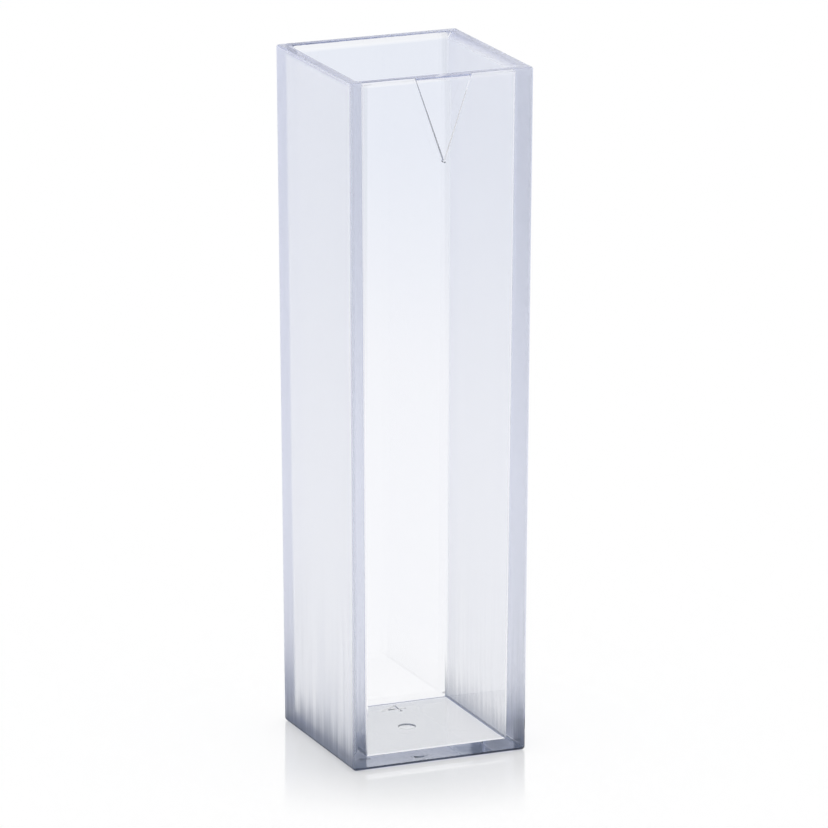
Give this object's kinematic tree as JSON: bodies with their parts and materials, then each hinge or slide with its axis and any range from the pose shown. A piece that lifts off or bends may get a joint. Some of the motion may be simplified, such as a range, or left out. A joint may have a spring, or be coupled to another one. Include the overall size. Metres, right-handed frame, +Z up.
{
  "type": "cuvette",
  "caption": "Square clear plastic cuvette, a tall thin-walled cell with an open mouth, closed flat foot and two plain windows that hold a liquid in a light beam.",
  "frame": {"origin": "centre of the flat underside of the foot", "axes": "+Z up the cuvette towards its open mouth; -Y out of the front window, which carries the arrow; X across, out of the matt sides"},
  "size_m": [0.0124, 0.0127, 0.045],
  "materials": {
    "clear_polystyrene": "clear polystyrene, polished front and back windows, fine matt left and right sides"
  },
  "bodies": {
    "root": {"cuvette_body": "clear_polystyrene"}
  },
  "joints": []
}
